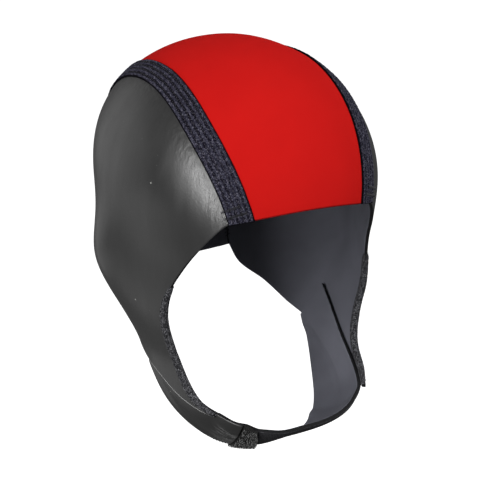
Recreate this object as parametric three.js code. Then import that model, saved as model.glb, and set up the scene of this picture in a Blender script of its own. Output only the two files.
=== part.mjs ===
// Neoprene swim cap, worn shape, in millimetres. +Z is up and the face opening looks toward -Y.
// The wearer's right is -X. Depths are counted down from the outer top of the crown, and at the end
// the whole cap is moved so that the inside of the crown's top is at the origin.
import * as THREE from "three";

// Sheet thicknesses and clearances
const WALL = 2.5;
const TAPE_THICKNESS = 1.0;
const BINDING_THICKNESS = 0.6;
const TAB_THICKNESS = 1.2;
const GAP = 0.3;
// Between sheets that lie on each other with different facets
const LAYER_GAP = 0.5;

// Outer sections of the worn cap: half width, reach to the front and to the back, widest place
const SECTIONS = [
  { z: 0, halfWidth: 0, front: 0, back: 0, widestY: 11 },
  { z: -15, halfWidth: 47.5, front: 39.8, back: 67.5, widestY: 11 },
  { z: -45, halfWidth: 73.8, front: 73, back: 97, widestY: 11 },
  { z: -80, halfWidth: 81, front: 88.5, back: 99, widestY: 11 },
  { z: -115, halfWidth: 74.5, front: 89.5, back: 96.5, widestY: 9.5 },
  { z: -150, halfWidth: 74, front: 88.5, back: 87.5, widestY: 0 },
  { z: -185, halfWidth: 63.2, front: 92, back: 66, widestY: -12.5 },
  { z: -212, halfWidth: 58.2, front: 90, back: 38, widestY: -26 },
  { z: -232, halfWidth: 40, front: 63.5, back: 13, widestY: -36.5 },
  { z: -242, halfWidth: 0, front: 0, back: 0, widestY: -36 },
];
const FRONT_ROUNDNESS = 2.15;
const BACK_ROUNDNESS = 2.1;
const FORM_CENTRE = new THREE.Vector3(0, 0, -100);

// Swelling of the sheet over the ear
const EAR = { height: 13, y: 22, z: -122.5, spreadY: 29, spreadZ: 27, fullFrom: 40 };

// Hem and joints of the crown panel, by the angle round the crown seen from the side:
// 0 looks forward, 90 is straight up and 180 is straight back
const HEM_ANGLE = 11.8;
const HEM_DROP = 2.5;
const HEM_DROP_AT = 47;
const NAPE_ANGLE = 214;
const TAPE_INNER_EDGE = [
  { angle: 8, x: 34.8 },
  { angle: 52, x: 44.8 },
  { angle: 95, x: 43.9 },
  { angle: 137, x: 39 },
  { angle: 180, x: 32.6 },
  { angle: 214, x: 28 },
];
const TAPE_SPAN = 12.5;

// Free edges of a side panel in the side view
const FACE_EDGE = [
  { y: -72.8, z: -88 },
  { y: -58.8, z: -104 },
  { y: -44.5, z: -121.5 },
  { y: -36, z: -137 },
  { y: -33, z: -152.5 },
  { y: -32.5, z: -171 },
  { y: -38, z: -188.5 },
  { y: -50, z: -200.7 },
];
const FLAP_TIP = { y: -62, z: -207.8 };
const FLAP_REAR_EDGE = [
  { y: -47, z: -205 },
  { y: -27, z: -199.2 },
  { y: -11, z: -194.2 },
  { y: 5, z: -190.5 },
];
const FLAP_HEEL = { y: 34, z: -182 };
const NAPE_EDGE = [
  { y: 54, z: -172 },
  { y: 70, z: -162.5 },
];

// The flap rides up over the strap between these depths
const FLAP_LIFT = { height: 1.6, from: -178, to: -204 };

// Knit binding on the lower part of the face edge, by its share of the edge's length
const BINDING_WIDTH = 2.4;
const BINDING_TIP_WIDTH = 1;
const BINDING_START = 0.42;
const BINDING_FULL = 0.55;
const BINDING_END = 0.97;

// Chin strap: a band in a plane tilted down to the front, by the angle round its centre:
// 0 is straight to the side, 90 is under the chin and 180 is the other side
const STRAP_CENTRE = { y: -5, z: -179 };
const STRAP_TILT = 32;
const STRAP_EDGES = [
  { angle: -16, front: 2, rear: -20 },
  { angle: 12, front: 3, rear: -32 },
  { angle: 45, front: 4.3, rear: -35 },
  { angle: 65, front: 9.2, rear: -32 },
  { angle: 78, front: 6.6, rear: -28 },
  { angle: 90, front: 5, rear: -26 },
];
const STRAP_ROOT_ANGLE = -16;
// Where the rear part of the strap comes out from under the flap it stands out to this level
const STRAP_REAR_RISE = { outer: 0, placeFrom: -17, placeTo: -22.5, angleFrom: -12, angleTo: -4 };
// Past the flap's tip the strap rises from its level at the root to the level of the chin
const STRAP_ROOT_ZONE = { from: 50, to: 60 };
const UPPER_STRAP_OUTER = 0;
const STRAP_END_ANGLE = 62.5;
const STRAP_END_THICKNESS = 1.4;
const STRAP_THINS_FROM = 50;
const TAB_START_ANGLE = 51;
const TAB_END = { front: 68.5, rear: 76 };
// How far the tab stands out over the strap's edges where it shows
const TAB_OVERHANG = { front: -1, rear: 0.6 };
const TAB_COVERED_OVERHANG = -1.5;
const TAB_LEVEL = 0.85;
const TAB_EDGE_ANGLE = 0.6;
const TAB_EDGE = STRAP_END_ANGLE + TAB_EDGE_ANGLE;
// Past the end of the upper strap the tab and the lower strap come up to their own levels
const TAB_RISE_TO = 70;
const LOWER_STRAP_END_ANGLE = 50;
// Away from the tab the lower strap lies closer to the chin
const LOWER_STRAP_CHIN = { outer: -3, from: 76, to: 92 };
// Below the upper strap the lower one is narrower at the front, so that its end doesn't show
const LOWER_STRAP_INSET = { width: 5, from: 58, to: 76 };

// Mesh steps
const STEPS_ALONG = 30;
const STEPS_CROWN = 12;
const STEPS_DOWN = 20;
const STEPS_TAPE = 3;
const STEPS_BINDING = 22;
const STEPS_ACROSS_STRAP = 6;
const STRAP_STEP_ANGLE = 4;
const TAB_STEP_ANGLE = 2;
const FINE_ROWS_FROM = 80;
const HIT_REACH = 180;
const HIT_ROUNDS = 30;
const SLOPE_STEP = 0.02;

const RIGHT = -1;
const LEFT = 1;

const lerp = THREE.MathUtils.lerp;
const radians = THREE.MathUtils.degToRad;
const smooth = THREE.MathUtils.smoothstep;

// Natural cubic spline through points with rising x
function spline(points) {
  const n = points.length;
  const second = new Array(n).fill(0);
  const work = new Array(n).fill(0);
  for (let i = 1; i < n - 1; i++) {
    const [before, here, after] = [points[i - 1], points[i], points[i + 1]];
    const share = (here.x - before.x) / (after.x - before.x);
    const p = share * second[i - 1] + 2;
    const bend = (after.y - here.y) / (after.x - here.x) - (here.y - before.y) / (here.x - before.x);
    second[i] = (share - 1) / p;
    work[i] = ((6 * bend) / (after.x - before.x) - share * work[i - 1]) / p;
  }
  for (let i = n - 2; i > 0; i--) second[i] = second[i] * second[i + 1] + work[i];
  second[0] = 0;
  return (x) => {
    let i = 1;
    while (i < n - 1 && x > points[i].x) i++;
    const [low, high] = [points[i - 1], points[i]];
    const span = high.x - low.x;
    const b = (x - low.x) / span;
    const a = 1 - b;
    const bend = (a ** 3 - a) * second[i - 1] + (b ** 3 - b) * second[i];
    return a * low.y + b * high.y + (bend * span ** 2) / 6;
  };
}

function column(value) {
  return spline(SECTIONS.map((row) => ({ x: row.z, y: value(row) })).reverse());
}
const closes = (row) => row.halfWidth === 0;
const widthSquare = column((row) => row.halfWidth ** 2);
const frontSquare = column((row) => (closes(row) ? 0 : (row.front + row.widestY) ** 2));
const backSquare = column((row) => (closes(row) ? 0 : (row.back - row.widestY) ** 2));
const widestY = column((row) => row.widestY);
const CROWN_TOP = SECTIONS[0].z;
const CHIN_BOTTOM = SECTIONS.at(-1).z;
const TINY = 1e-6;

function earSwelling(point) {
  const dy = (point.y - EAR.y) / EAR.spreadY;
  const dz = (point.z - EAR.z) / EAR.spreadZ;
  const share = Math.min(Math.abs(point.x) / EAR.fullFrom, 1);
  return EAR.height * Math.exp(-dy * dy - dz * dz) * share;
}

// Below zero inside the worn shape and above zero outside it
function field(point) {
  if (point.z > CROWN_TOP || point.z < CHIN_BOTTOM) return 1;
  const dy = point.y - widestY(point.z);
  const reach = dy < 0 ? frontSquare(point.z) : backSquare(point.z);
  const roundness = (dy < 0 ? FRONT_ROUNDNESS : BACK_ROUNDNESS) / 2;
  const x = Math.max(Math.abs(point.x) - earSwelling(point), 0);
  const side = (x * x) / Math.max(widthSquare(point.z), TINY);
  const length = (dy * dy) / Math.max(reach, TINY);
  return side ** roundness + length ** roundness - 1;
}

// Where a ray from inside leaves the worn shape
function hit(origin, direction) {
  const ray = new THREE.Ray(origin, direction.clone().normalize());
  const point = new THREE.Vector3();
  let [inside, outside] = [0, HIT_REACH];
  for (let i = 0; i < HIT_ROUNDS; i++) {
    const middle = (inside + outside) / 2;
    if (field(ray.at(middle, point)) < 0) inside = middle;
    else outside = middle;
  }
  return ray.at(inside, new THREE.Vector3());
}

function normalAt(point) {
  const slope = (axis) => {
    const [ahead, behind] = [point.clone(), point.clone()];
    ahead[axis] += SLOPE_STEP;
    behind[axis] -= SLOPE_STEP;
    return field(ahead) - field(behind);
  };
  return new THREE.Vector3(slope("x"), slope("y"), slope("z")).normalize();
}

// Point on the form that a side view shows at y, z
function sideHit(side, { y, z }) {
  return hit(new THREE.Vector3(0, y, z), new THREE.Vector3(side, 0, 0));
}

// Point on the form at x, by the angle round the crown
function crownHit(x, angle) {
  const turn = radians(angle);
  const direction = new THREE.Vector3(0, -Math.cos(turn), Math.sin(turn));
  return hit(new THREE.Vector3(x, 0, FORM_CENTRE.z), direction);
}

function centreHit(target) {
  return hit(FORM_CENTRE, target.clone().sub(FORM_CENTRE));
}

const tapeInnerEdge = spline(TAPE_INNER_EDGE.map((row) => ({ x: row.angle, y: row.x })));
const jointX = (angle) => tapeInnerEdge(angle) + TAPE_SPAN / 2;
const hemAngle = (x) => HEM_ANGLE - HEM_DROP * (x / HEM_DROP_AT) ** 2;

// Angle round the crown, from the front hem to the nape, at a share of the way
const crownAngle = (x, share) => lerp(hemAngle(x), NAPE_ANGLE, share);

// Closed shell over a grid of points on the form. levels(point, row, column) gives how far the
// outer and inner faces lie outside the form there.
function shell(grid, levels) {
  const rows = grid.length;
  const columns = grid[0].length;
  const layers = [[], []];
  grid.forEach((line, row) => {
    line.forEach((point, column) => {
      const normal = normalAt(point);
      const { outer, inner } = levels(point, row, column);
      layers[0].push(point.clone().addScaledVector(normal, outer));
      layers[1].push(point.clone().addScaledVector(normal, inner));
    });
  });
  const points = layers.flat();
  const outerIndex = (row, column) => row * columns + column;
  const innerIndex = (row, column) => rows * columns + row * columns + column;
  const faces = [];
  const quad = (a, b, c, d) => faces.push(a, b, c, a, c, d);
  for (let r = 0; r < rows - 1; r++) {
    for (let c = 0; c < columns - 1; c++) {
      quad(outerIndex(r, c), outerIndex(r, c + 1), outerIndex(r + 1, c + 1), outerIndex(r + 1, c));
      quad(innerIndex(r, c), innerIndex(r + 1, c), innerIndex(r + 1, c + 1), innerIndex(r, c + 1));
    }
  }
  for (let c = 0; c < columns - 1; c++) {
    const last = rows - 1;
    quad(outerIndex(0, c), innerIndex(0, c), innerIndex(0, c + 1), outerIndex(0, c + 1));
    quad(outerIndex(last, c + 1), innerIndex(last, c + 1), innerIndex(last, c), outerIndex(last, c));
  }
  for (let r = 0; r < rows - 1; r++) {
    const last = columns - 1;
    quad(outerIndex(r + 1, 0), innerIndex(r + 1, 0), innerIndex(r, 0), outerIndex(r, 0));
    quad(outerIndex(r, last), innerIndex(r, last), innerIndex(r + 1, last), outerIndex(r + 1, last));
  }
  if (volume(points, faces) < 0) faces.reverse();
  const geometry = new THREE.BufferGeometry().setFromPoints(points);
  geometry.setIndex(faces);
  geometry.computeVertexNormals();
  return geometry;
}

function volume(points, faces) {
  let sum = 0;
  for (let i = 0; i < faces.length; i += 3) {
    const [a, b, c] = [points[faces[i]], points[faces[i + 1]], points[faces[i + 2]]];
    sum += a.dot(b.clone().cross(c));
  }
  return sum / 6;
}

const shares = (steps) => Array.from({ length: steps + 1 }, (_, i) => i / steps);

// How far a side panel is raised over the strap, by depth
const flapLift = (z) => FLAP_LIFT.height * smooth(-z, -FLAP_LIFT.from, -FLAP_LIFT.to);

function crownPanel() {
  const grid = shares(STEPS_ALONG).map((along) =>
    shares(STEPS_CROWN).map((across) => {
      const reach = 2 * across - 1;
      const x = reach * jointX(crownAngle(jointX(HEM_ANGLE), along));
      return crownHit(x, crownAngle(x, along));
    })
  );
  return shell(grid, () => ({ outer: 0, inner: -WALL }));
}

// The joint line between crown and side panel, one gap to the side panel's side
function jointLine(side, extra) {
  return shares(STEPS_ALONG).map((along) => {
    const joint = jointX(crownAngle(jointX(HEM_ANGLE), along));
    return crownHit(side * (joint + extra), crownAngle(joint, along));
  });
}

function smoothCurve(points) {
  return new THREE.CatmullRomCurve3(points, false, "centripetal");
}

function faceCurve(side, start) {
  const below = [...FACE_EDGE, FLAP_TIP].map((place) => sideHit(side, place));
  return smoothCurve([start, ...below]);
}

// Patch of the form between four curves: joint line, flap's rear edge, face edge and nape edge
function sidePanel(side) {
  const joint = jointLine(side, GAP);
  const face = faceCurve(side, joint[0]);
  const rearPlaces = [FLAP_TIP, ...FLAP_REAR_EDGE, FLAP_HEEL];
  const napePlaces = [...NAPE_EDGE].reverse().concat(FLAP_HEEL);
  const rear = smoothCurve(rearPlaces.map((place) => sideHit(side, place)));
  const napePoints = [joint.at(-1), ...napePlaces.map((place) => sideHit(side, place))];
  const nape = smoothCurve(napePoints);
  const corners = [joint[0], joint.at(-1), face.getPointAt(1), nape.getPointAt(1)];
  const grid = joint.map((top, i) => {
    const u = i / STEPS_ALONG;
    const bottom = rear.getPointAt(u);
    return shares(STEPS_DOWN).map((v) => {
      const target = new THREE.Vector3()
        .addScaledVector(top, 1 - v)
        .addScaledVector(bottom, v)
        .addScaledVector(face.getPointAt(v), 1 - u)
        .addScaledVector(nape.getPointAt(v), u)
        .addScaledVector(corners[0], -(1 - u) * (1 - v))
        .addScaledVector(corners[1], -u * (1 - v))
        .addScaledVector(corners[2], -(1 - u) * v)
        .addScaledVector(corners[3], -u * v);
      return centreHit(target);
    });
  });
  return shell(grid, (point) => {
    const lift = flapLift(point.z);
    return { outer: lift, inner: lift - WALL };
  });
}

function seamTape(side) {
  const grid = shares(STEPS_ALONG).map((along) =>
    shares(STEPS_TAPE).map((across) => {
      const edge = tapeInnerEdge(crownAngle(jointX(HEM_ANGLE), along));
      const x = edge + TAPE_SPAN * across;
      return crownHit(side * x, crownAngle(x, along));
    })
  );
  return shell(grid, () => ({ outer: LAYER_GAP + TAPE_THICKNESS, inner: LAYER_GAP }));
}

function faceBinding(side) {
  const face = faceCurve(side, jointLine(side, GAP)[0]);
  const grid = shares(STEPS_BINDING).map((share) => {
    const along = lerp(BINDING_START, BINDING_END, share);
    const edge = face.getPointAt(along);
    const tangent = face.getTangentAt(along);
    const width = lerp(BINDING_TIP_WIDTH, BINDING_WIDTH, smooth(along, BINDING_START, BINDING_FULL));
    const length = Math.hypot(tangent.y, tangent.z);
    const inward = { y: edge.y - (tangent.z / length) * width, z: edge.z + (tangent.y / length) * width };
    return [sideHit(side, edge), sideHit(side, inward)];
  });
  return shell(grid, (point) => {
    const lift = flapLift(point.z) + LAYER_GAP;
    return { outer: lift + BINDING_THICKNESS, inner: lift };
  });
}

const strapColumn = (name) => spline(STRAP_EDGES.map((row) => ({ x: row.angle, y: row[name] })));
const strapFront = strapColumn("front");
const strapRear = strapColumn("rear");

// Places of the front and the rear edge, across the width of each band
function strapEdges(angle) {
  const folded = angle > 90 ? 180 - angle : angle;
  return { front: strapFront(folded), rear: strapRear(folded) };
}

function tabEdges(angle) {
  const { front, rear } = strapEdges(angle);
  if (angle > TAB_EDGE) return { front: front + TAB_OVERHANG.front, rear: rear - TAB_OVERHANG.rear };
  return { front: front + TAB_COVERED_OVERHANG, rear: rear - TAB_COVERED_OVERHANG };
}

function lowerStrapEdges(angle) {
  const { width, from, to } = LOWER_STRAP_INSET;
  const { front, rear } = strapEdges(angle);
  return { front: front - width * (1 - smooth(180 - angle, from, to)), rear };
}

// Point on the form at an angle round the strap's centre and a place across its width
function strapHit(side, angle, place) {
  const tilt = radians(STRAP_TILT);
  const turn = radians(angle);
  const origin = new THREE.Vector3(
    0,
    STRAP_CENTRE.y - Math.sin(tilt) * place,
    STRAP_CENTRE.z + Math.cos(tilt) * place
  );
  const forward = Math.sin(turn);
  const direction = new THREE.Vector3(
    side * Math.cos(turn),
    -Math.cos(tilt) * forward,
    -Math.sin(tilt) * forward
  );
  return hit(origin, direction);
}

const straight = (angle) => ({ front: angle, rear: angle });

// Rows of a band from one line across it to another, each by its angle at the front and rear edge
function rowsBetween(start, end, stepAngle) {
  return shares(Math.round((end.rear - start.rear) / stepAngle)).map((share) => ({
    front: lerp(start.front, end.front, share),
    rear: lerp(start.rear, end.rear, share),
  }));
}

function band(side, rows, edges, levels) {
  const spots = rows.map((row) =>
    shares(STEPS_ACROSS_STRAP).map((across) => {
      const angle = lerp(row.front, row.rear, across);
      const { front, rear } = edges(angle);
      return { angle, place: lerp(front, rear, across) };
    })
  );
  const grid = spots.map((row) => row.map(({ angle, place }) => strapHit(side, angle, place)));
  return shell(grid, (point, row, step) => levels(point, spots[row][step]));
}

// Under a flap the strap keeps one gap to the flap's inner face
const underFlap = (point) => flapLift(point.z) - WALL - LAYER_GAP;

// Level of a strap's outer face between its root and the flap's tip
function rootLevel(point, { angle, place }) {
  const { outer, placeFrom, placeTo, angleFrom, angleTo } = STRAP_REAR_RISE;
  const rise = smooth(-place, -placeFrom, -placeTo) * smooth(angle, angleFrom, angleTo);
  return lerp(underFlap(point), outer, rise);
}

// The root's level gives way to the level under the chin past the flap's tip
function exposedLevel(point, spot, chinLevel) {
  const share = smooth(spot.angle, STRAP_ROOT_ZONE.from, STRAP_ROOT_ZONE.to);
  return lerp(rootLevel(point, spot), chinLevel, share);
}

const upperStrapThickness = (angle) =>
  lerp(WALL, STRAP_END_THICKNESS, smooth(angle, STRAP_THINS_FROM, STRAP_END_ANGLE));
const upperStrapOuter = (point, spot) => exposedLevel(point, spot, UPPER_STRAP_OUTER);

// The wearer's right strap, whose free end laps over the other strap
function upperStrap() {
  const rows = rowsBetween(straight(STRAP_ROOT_ANGLE), straight(STRAP_END_ANGLE), STRAP_STEP_ANGLE);
  return band(RIGHT, rows, strapEdges, (point, spot) => {
    const outer = upperStrapOuter(point, spot);
    return { outer, inner: outer - upperStrapThickness(spot.angle) };
  });
}

// Level of the tab's outer face below the upper strap
function coveredTabOuter(point, spot) {
  return upperStrapOuter(point, spot) - upperStrapThickness(spot.angle) - LAYER_GAP;
}

function tabInner(point, spot) {
  const rise = smooth(spot.angle, TAB_EDGE, TAB_RISE_TO);
  return lerp(coveredTabOuter(point, spot), TAB_LEVEL, rise) - TAB_THICKNESS;
}

// Hook tab: thin under the end of the upper strap, and raised where it shows beyond it
function fasteningTab() {
  const rows = [
    ...rowsBetween(straight(TAB_START_ANGLE), straight(TAB_EDGE), TAB_STEP_ANGLE),
    ...rowsBetween(straight(TAB_EDGE + TAB_EDGE_ANGLE), TAB_END, TAB_STEP_ANGLE),
  ];
  return band(RIGHT, rows, tabEdges, (point, spot) => {
    const outer = spot.angle > TAB_EDGE ? TAB_LEVEL : coveredTabOuter(point, spot);
    return { outer, inner: tabInner(point, spot) };
  });
}

// The wearer's left strap, which passes under the chin and ends below the tab
function lowerStrap() {
  const root = straight(STRAP_ROOT_ANGLE);
  const fine = straight(180 - FINE_ROWS_FROM);
  const end = straight(180 - LOWER_STRAP_END_ANGLE);
  const rows = [
    ...rowsBetween(root, fine, STRAP_STEP_ANGLE).slice(0, -1),
    ...rowsBetween(fine, end, TAB_STEP_ANGLE),
  ];
  return band(LEFT, rows, lowerStrapEdges, (point, spot) => {
    const fromRight = { angle: 180 - spot.angle, place: spot.place };
    const { outer: chin, from, to } = LOWER_STRAP_CHIN;
    const underTab = tabInner(point, fromRight) - LAYER_GAP;
    const outer = exposedLevel(point, spot, lerp(underTab, chin, smooth(fromRight.angle, from, to)));
    return { outer, inner: outer - WALL };
  });
}

function material(color, roughness) {
  return new THREE.MeshStandardMaterial({ color, roughness, metalness: 0 });
}
const jersey = material(0xc21a18, 0.85);
const smoothSkin = material(0x464648, 0.45);
const knitTape = material(0x232337, 0.9);
const edgeKnit = material(0x242428, 0.9);
const hookTape = material(0x18181a, 0.95);

function piece(name, geometry, look) {
  const mesh = new THREE.Mesh(geometry, look);
  mesh.name = name;
  return mesh;
}

const cap = new THREE.Group();
cap.position.set(0, -SECTIONS[0].widestY, WALL);
cap.add(piece("crown_panel", crownPanel(), jersey));
for (const [side, word] of [[RIGHT, "right"], [LEFT, "left"]]) {
  cap.add(piece(`side_panel_${word}`, sidePanel(side), smoothSkin));
  cap.add(piece(`seam_tape_${word}`, seamTape(side), knitTape));
  cap.add(piece(`face_binding_${word}`, faceBinding(side), edgeKnit));
}
cap.add(piece("chin_strap_right", upperStrap(), smoothSkin));
cap.add(piece("chin_strap_left", lowerStrap(), smoothSkin));
cap.add(piece("fastening_tab", fasteningTab(), hookTape));

export default cap;
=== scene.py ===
"""Neoprene swim cap in its worn shape: the looks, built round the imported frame.

Sizes are in millimetres until a piece is made. The form's own depths are counted down from the outer
top of the crown, and FORM_SHIFT moves it to the frame, where the inside of the crown's top is the
origin. +Z is up, the face opening looks toward -Y and the wearer's right is -X.
"""

import math

import bpy
import numpy as np
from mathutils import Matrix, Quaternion, Vector


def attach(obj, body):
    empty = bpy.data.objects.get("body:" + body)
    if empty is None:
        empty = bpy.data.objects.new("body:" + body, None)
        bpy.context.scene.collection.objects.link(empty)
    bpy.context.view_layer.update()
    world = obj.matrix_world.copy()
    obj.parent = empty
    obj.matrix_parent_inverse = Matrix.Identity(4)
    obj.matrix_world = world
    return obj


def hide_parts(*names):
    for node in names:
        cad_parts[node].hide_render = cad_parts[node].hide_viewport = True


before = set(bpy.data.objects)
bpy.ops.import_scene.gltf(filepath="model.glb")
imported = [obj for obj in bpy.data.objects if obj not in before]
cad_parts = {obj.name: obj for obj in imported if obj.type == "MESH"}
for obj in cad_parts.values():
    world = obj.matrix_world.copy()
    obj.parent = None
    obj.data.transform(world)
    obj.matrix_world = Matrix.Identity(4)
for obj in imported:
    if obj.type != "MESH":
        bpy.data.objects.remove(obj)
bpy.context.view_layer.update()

MM = 0.001
TAPE_SEED, BINDING_SEED, HOOK_SEED = 7, 17, 37
FULL_TURN = 2 * math.pi
TINY = 1e-6
RIGHT, LEFT = -1, 1
SIDES = ((RIGHT, "right"), (LEFT, "left"))

# Sheet thicknesses, as in the part
WALL = 2.5
TAPE_THICKNESS = 1.0
LAYER_GAP = 0.5
TAB_THICKNESS = 1.2
GAP = 0.3
FORM_SHIFT = np.array([0.0, -11.0, WALL])

# Outer sections of the worn cap: depth, half width, reach to the front and to the back, widest place
SECTIONS = (
    (0, 0, 0, 0, 11),
    (-15, 47.5, 39.8, 67.5, 11),
    (-45, 73.8, 73, 97, 11),
    (-80, 81, 88.5, 99, 11),
    (-115, 74.5, 89.5, 96.5, 9.5),
    (-150, 74, 88.5, 87.5, 0),
    (-185, 63.2, 92, 66, -12.5),
    (-212, 58.2, 90, 38, -26),
    (-232, 40, 63.5, 13, -36.5),
    (-242, 0, 0, 0, -36),
)
FRONT_ROUNDNESS = 2.15
BACK_ROUNDNESS = 2.1
FORM_CENTRE = np.array([0.0, 0.0, -100.0])
EAR = {"height": 13, "y": 22, "z": -122.5, "spread_y": 29, "spread_z": 27, "full_from": 40}

# Crown panel and tapes, by the angle round the crown: 0 looks forward, 90 is up, 180 is back
HEM_ANGLE = 11.8
HEM_DROP = 2.5
HEM_DROP_AT = 47
NAPE_ANGLE = 214
TAPE_ANGLES = (8, 52, 95, 137, 180, 214)
TAPE_INNER_X = (34.8, 44.8, 43.9, 39, 32.6, 28)
TAPE_SPAN = 12.5

# Free edges of a side panel in the side view, as y and z
FACE_EDGE = (
    (-72.8, -88), (-58.8, -104), (-44.5, -121.5), (-36, -137),
    (-33, -152.5), (-32.5, -171), (-38, -188.5), (-50, -200.7),
)
FLAP_TIP = (-62, -207.8)
FLAP_REAR_EDGE = ((-47, -205), (-27, -199.2), (-11, -194.2), (5, -190.5))
FLAP_HEEL = (34, -182)
NAPE_EDGE = ((54, -172), (70, -162.5))
FLAP_LIFT, FLAP_LIFT_DEPTHS = 1.6, (178, 204)

# Knit binding round the lower face edge, by share of the edge's length
BINDING_START, BINDING_FULL, BINDING_NARROWS, BINDING_END = 0.42, 0.55, 0.84, 0.99
BINDING_THINS = 0.1
BINDING_WIDTH, BINDING_TIP_WIDTH = 2.9, 1.0
BINDING_THICKNESS = 0.55

# Chin strap: a band in a plane tilted down to the front, by the angle round its centre
STRAP_CENTRE_Y, STRAP_CENTRE_Z = -5, -179
STRAP_TILT = math.radians(32)
STRAP_ANGLES = (-16, 12, 45, 65, 78, 90)
STRAP_FRONT = (2, 3, 4.3, 9.2, 6.6, 5)
STRAP_REAR = (-20, -32, -35, -32, -28, -26)
STRAP_ROOT_ANGLE = -16
REAR_LEVEL, REAR_PLACES, REAR_ANGLES = 0.0, (17, 22.5), (-12, -4)
ROOT_ZONE = (50, 60)
UPPER_STRAP_OUTER = 0.0
STRAP_END_ANGLE = 62.5
STRAP_END_THICKNESS = 1.4
TAB_START_ANGLE = 51
TAB_EDGE_ANGLE = 0.6
TAB_EDGE = STRAP_END_ANGLE + TAB_EDGE_ANGLE
TAB_STEP_ANGLE = 0.2
TAB_END_FRONT, TAB_END_REAR = 68.5, 76
TAB_RISE_TO = 70
TAB_OVERHANG_FRONT, TAB_OVERHANG_REAR = -1.0, 0.6
TAB_COVERED_OVERHANG = -1.5
TAB_LEVEL = 0.85
LOWER_STRAP_END_ANGLE = 50
CHIN_LEVEL, CHIN_ANGLES = -3.0, (76, 92)
LOWER_INSET, LOWER_INSET_ANGLES = 5, (58, 76)

HIT_REACH = 180
HIT_ROUNDS = 34
SLOPE_STEP = 0.02
CURVE_STEPS = 80


# Curves and the form


def natural_spline(xs, ys):
    """Natural cubic spline through points with rising x."""
    xs, ys = np.asarray(xs, float), np.asarray(ys, float)
    count = len(xs)
    step = np.diff(xs)
    matrix, right = np.eye(count), np.zeros(count)
    for i in range(1, count - 1):
        matrix[i, i - 1 : i + 2] = step[i - 1], 2 * (step[i - 1] + step[i]), step[i]
        right[i] = 6 * ((ys[i + 1] - ys[i]) / step[i] - (ys[i] - ys[i - 1]) / step[i - 1])
    bend = np.linalg.solve(matrix, right)

    def value(x):
        i = np.clip(np.searchsorted(xs, x) - 1, 0, count - 2)
        b = (x - xs[i]) / step[i]
        a = 1 - b
        curve = (a**3 - a) * bend[i] + (b**3 - b) * bend[i + 1]
        return a * ys[i] + b * ys[i + 1] + curve * step[i] ** 2 / 6

    return value


def smooth_share(x, low, high):
    share = np.clip((np.asarray(x, float) - low) / (high - low), 0, 1)
    return share * share * (3 - 2 * share)


def mix(a, b, share):
    return a + (b - a) * share


def unit(vectors):
    return vectors / np.maximum(np.linalg.norm(vectors, axis=-1, keepdims=True), TINY)


DEPTHS, HALVES, FRONTS, BACKS, WIDEST = np.array(SECTIONS[::-1], float).T
width_square = natural_spline(DEPTHS, HALVES**2)
front_square = natural_spline(DEPTHS, np.where(HALVES > 0, FRONTS + WIDEST, 0) ** 2)
back_square = natural_spline(DEPTHS, np.where(HALVES > 0, BACKS - WIDEST, 0) ** 2)
widest_y = natural_spline(DEPTHS, WIDEST)


def ear_swelling(x, y, z):
    dy = (y - EAR["y"]) / EAR["spread_y"]
    dz = (z - EAR["z"]) / EAR["spread_z"]
    return EAR["height"] * np.exp(-dy * dy - dz * dz) * np.minimum(np.abs(x) / EAR["full_from"], 1)


def field(points):
    """Below zero inside the worn shape and above zero outside it."""
    x, y, z = np.moveaxis(points, -1, 0)
    dy = y - widest_y(z)
    reach = np.maximum(np.where(dy < 0, front_square(z), back_square(z)), TINY)
    power = np.where(dy < 0, FRONT_ROUNDNESS, BACK_ROUNDNESS) / 2
    wide = np.maximum(np.abs(x) - ear_swelling(x, y, z), 0)
    side = (wide**2 / np.maximum(width_square(z), TINY)) ** power
    value = side + (dy**2 / reach) ** power - 1
    return np.where((z > SECTIONS[0][0]) | (z < SECTIONS[-1][0]), 1.0, value)


def hit(origins, directions):
    """Where rays from inside leave the worn shape."""
    directions = unit(directions)
    shape = np.broadcast_shapes(origins.shape, directions.shape)[:-1]
    low, high = np.zeros(shape), np.full(shape, float(HIT_REACH))
    for _ in range(HIT_ROUNDS):
        middle = (low + high) / 2
        inside = field(origins + middle[..., None] * directions) < 0
        low = np.where(inside, middle, low)
        high = np.where(inside, high, middle)
    return origins + low[..., None] * directions


def normals_at(points):
    steps = SLOPE_STEP * np.eye(3)
    return unit(np.stack([field(points + step) - field(points - step) for step in steps], -1))


def side_hit(side, y, z):
    y, z = np.broadcast_arrays(np.asarray(y, float), np.asarray(z, float))
    return hit(np.stack([0 * y, y, z], -1), np.array([float(side), 0.0, 0.0]))


def crown_hit(x, angle):
    x, turn = np.broadcast_arrays(np.asarray(x, float), np.radians(angle))
    origins = np.stack([x, 0 * x, np.full_like(x, FORM_CENTRE[2])], -1)
    return hit(origins, np.stack([0 * turn, -np.cos(turn), np.sin(turn)], -1))


tape_inner_x = natural_spline(TAPE_ANGLES, TAPE_INNER_X)


def joint_x(angle):
    return tape_inner_x(angle) + TAPE_SPAN / 2


def crown_angle(x, share):
    """Angle round the crown from the front hem to the nape, at a share of the way."""
    hem = HEM_ANGLE - HEM_DROP * (x / HEM_DROP_AT) ** 2
    return mix(hem, NAPE_ANGLE, share)


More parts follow.
